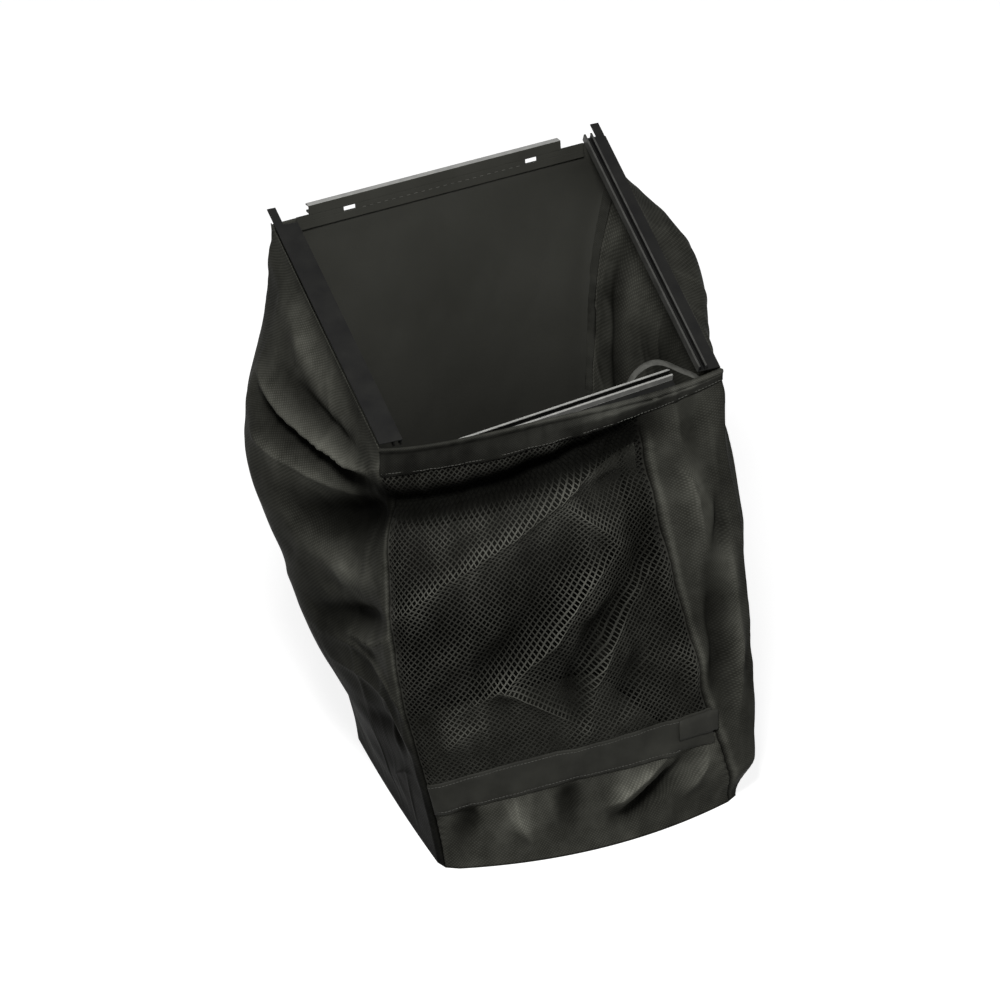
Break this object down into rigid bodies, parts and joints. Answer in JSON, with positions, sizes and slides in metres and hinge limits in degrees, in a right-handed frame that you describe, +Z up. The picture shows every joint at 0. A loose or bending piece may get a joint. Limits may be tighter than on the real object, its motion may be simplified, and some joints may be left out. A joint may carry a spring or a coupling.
{
  "type": "mower grass collection bag",
  "caption": "Open cloth bag with a slanted mouth, a net front above a coated band, a smooth back wall, and clip-on channels round the mouth that clip to a wire frame.",
  "frame": {"origin": "on the ground, below the middle of the bag's outer box", "axes": "+X across the bag, -Y towards the net side, +Z up towards the mouth"},
  "size_m": [0.5782, 0.4792, 0.7257],
  "materials": {
    "woven_cloth": "plain weave",
    "coated_cloth": "smooth coating",
    "hem_webbing": "ribbed",
    "net": "open knit",
    "coated_band": "smooth coating",
    "binding": "ribbed tape",
    "channel_plastic": "satin"
  },
  "bodies": {
    "root": {"left_side_panel": "woven_cloth", "right_side_panel": "woven_cloth", "back_panel": "coated_cloth", "front_hem": "hem_webbing", "front_mesh_panel": "net", "front_waist_band": "coated_band", "front_lower_panel": "woven_cloth", "bottom_panel": "woven_cloth", "front_left_seam_tape": "binding", "front_right_seam_tape": "binding", "back_right_seam_tape": "binding", "back_left_seam_tape": "binding", "base_seam_tape": "binding", "left_channel": "channel_plastic", "right_channel": "channel_plastic", "front_channel": "channel_plastic", "back_channel": "channel_plastic", "channel_end_loop": "binding"}
  },
  "joints": []
}
